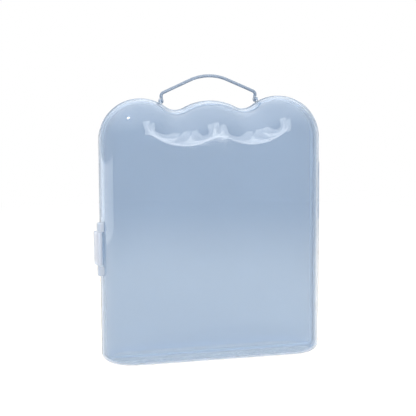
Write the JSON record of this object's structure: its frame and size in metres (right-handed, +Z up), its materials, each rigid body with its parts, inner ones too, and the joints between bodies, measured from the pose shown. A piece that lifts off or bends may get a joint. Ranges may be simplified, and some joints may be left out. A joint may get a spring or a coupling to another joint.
{
  "type": "storage case",
  "caption": "Clear clamshell storage case with a wavy top and pillow-shaped shells, a barrel hinge and a latch on its sides, and a slim bail handle that swings on top.",
  "frame": {"origin": "on the floor under the middle of the case, in the plane of the seam between the shells", "axes": "+X to the hinge side, +Y to the back, +Z up; the front shell, the lid, faces -Y"},
  "size_m": [0.2085, 0.0632, 0.2519],
  "materials": {
    "clear_shell": "clear, faintly blue, polished",
    "clear_rod": "clear, faintly blue, polished",
    "milky_latch": "milky, satin",
    "pin_plastic": "milky, satin"
  },
  "bodies": {
    "rear": {"rear_shell": "clear_shell", "hinge_pin": "pin_plastic", "handle_rivet_left": "pin_plastic", "handle_rivet_right": "pin_plastic"},
    "lid": {"front_shell": "clear_shell", "latch_pin": "pin_plastic"},
    "latch": {"latch_tongue": "milky_latch"},
    "bail": {"handle": "clear_rod"}
  },
  "joints": [
    {"name": "lid_hinge", "type": "hinge", "parent": "rear", "child": "lid", "pos_m": [0.101, -0.0001, 0.102], "axis": [0, 0, 1], "range_deg": [0, 180]},
    {"name": "latch_hinge", "type": "hinge", "parent": "lid", "child": "latch", "pos_m": [-0.1024, -0.0075, 0.102], "axis": [0, 0, 1], "range_deg": [0, 110]},
    {"name": "handle_swing", "type": "hinge", "parent": "rear", "child": "bail", "pos_m": [0, 0.004, 0.22915], "axis": [1, 0, 0], "range_deg": [-90, 90]}
  ]
}
